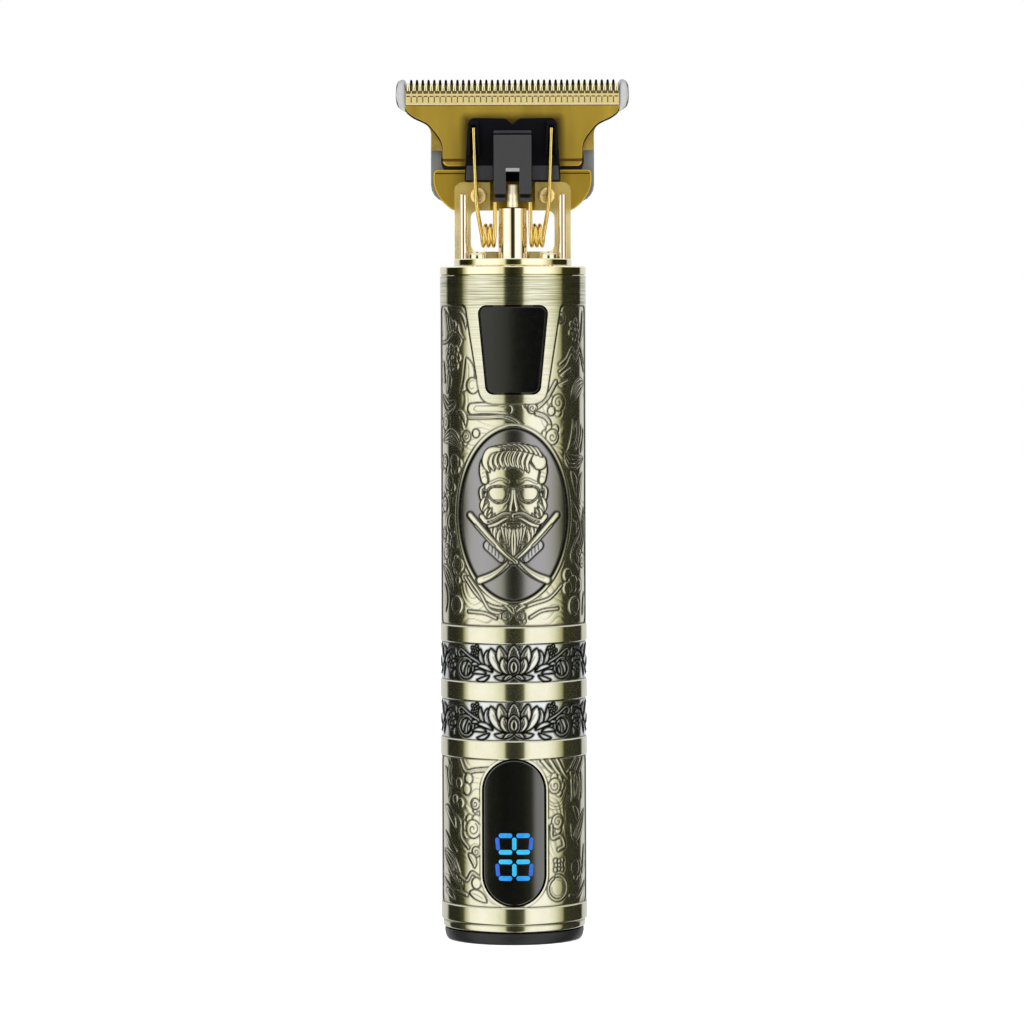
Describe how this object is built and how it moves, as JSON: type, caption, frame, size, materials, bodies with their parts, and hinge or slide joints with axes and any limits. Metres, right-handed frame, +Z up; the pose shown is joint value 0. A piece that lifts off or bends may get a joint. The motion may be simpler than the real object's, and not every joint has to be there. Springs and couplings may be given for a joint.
{
  "type": "beard trimmer",
  "caption": "Cordless T-blade beard trimmer: slim relief-decorated tube on a flat foot, with a sideways-sliding cutter, push button and lit display.",
  "frame": {"origin": "centre of the foot's flat underside, on the tube's axis", "axes": "+Z up along the body to the blade tips, -Y is the face with the button and the display, +X along the blade, to the right seen from the front"},
  "size_m": [0.0428, 0.0268, 0.157],
  "materials": {
    "champagne_metal": "brushed and relief-cast champagne gold, darkened in the recesses",
    "foot_plastic": "satin black moulding",
    "seal_rubber": "moulded rubber",
    "gloss_black": "polished black",
    "lit_digits": "blue lit segments",
    "gold_plate": "polished gold plating",
    "gold_blade": "ground steel, gold plated",
    "spring_gold": "gold plated spring wire",
    "bright_steel": "bright steel",
    "ground_steel": "ground grey steel",
    "yoke_plastic": "satin black moulding",
    "motor_steel": "zinc-plated steel",
    "white_nylon": "natural nylon",
    "copper": "enamelled copper",
    "bronze": "oil-filled bronze",
    "ferrite": "sintered, dull",
    "tinned_metal": "tinned or nickel-plated",
    "grey_plastic": "dark grey moulding",
    "cell_wrap": "shrink-wrapped",
    "foam": "closed-cell foam",
    "circuit_board": "solder-masked laminate",
    "chip_black": "moulded package",
    "red_wire": "insulated wire",
    "black_wire": "insulated wire"
  },
  "bodies": {
    "body": {"housing": "champagne_metal", "base_cap": "foot_plastic", "base_seal": "seal_rubber", "collar_gasket": "seal_rubber", "motor_sleeve": "seal_rubber", "display_lens": "gloss_black", "digit_module": "lit_digits", "top_collar": "gold_plate", "neck_frame": "gold_plate", "collar_screw_left": "gold_plate", "collar_screw_right": "gold_plate", "blade_screw_left": "gold_plate", "blade_screw_right": "gold_plate", "fixed_blade": "gold_blade", "tension_spring_left": "spring_gold", "tension_spring_right": "spring_gold", "charge_socket": "bright_steel", "blade_backing": "ground_steel", "motor_can": "motor_steel", "motor_screw_left": "motor_steel", "motor_screw_right": "motor_steel", "charge_board_screw_left": "motor_steel", "charge_board_screw_right": "motor_steel", "motor_end_bell": "white_nylon", "motor_bushing_front": "bronze", "motor_bushing_rear": "bronze", "motor_magnet_left": "ferrite", "motor_magnet_right": "ferrite", "motor_brush_left": "ferrite", "motor_brush_right": "ferrite", "motor_terminal_left": "tinned_metal", "motor_terminal_right": "tinned_metal", "battery_tab_positive": "tinned_metal", "battery_tab_negative": "tinned_metal", "filter_capacitor": "tinned_metal", "motor_mount": "grey_plastic", "battery_cradle": "grey_plastic", "switch_body": "grey_plastic", "board_header": "grey_plastic", "battery_cell": "cell_wrap", "battery_pad": "foam", "main_board": "circuit_board", "charge_board": "circuit_board", "controller_chip": "chip_black", "charge_chip": "chip_black", "driver_chip": "chip_black", "battery_wire_red": "red_wire", "motor_wire_red": "red_wire", "battery_wire_black": "black_wire", "motor_wire_black": "black_wire"},
    "rotor": {"motor_shaft": "bright_steel", "rotor_core": "motor_steel", "rotor_windings": "copper", "commutator": "copper", "eccentric_hub": "gold_plate", "drive_pin": "bright_steel"},
    "cutter": {"moving_blade": "gold_blade", "drive_yoke": "yoke_plastic"},
    "key": {"power_button": "gloss_black", "switch_plunger": "grey_plastic"}
  },
  "joints": [
    {"name": "rotor_turn", "type": "hinge", "parent": "body", "child": "rotor", "pos_m": [0, 0, 0.125], "axis": [0, 0, 1], "range_deg": [-75, 75]},
    {"name": "blade_slide", "type": "slide", "parent": "body", "child": "cutter", "axis": [1, 0, 0], "range_m": [-0.00105, 0.00105], "deforming": ["tension_spring_left", "tension_spring_right"]},
    {"name": "button_press", "type": "slide", "parent": "body", "child": "key", "axis": [0, 1, 0], "range_m": [0, 0.0005], "stiffness_N_per_m": 800}
  ],
  "couplings": [
    {"joint": "blade_slide", "follows": "rotor_turn", "m_per_rad": 0.0008}
  ]
}
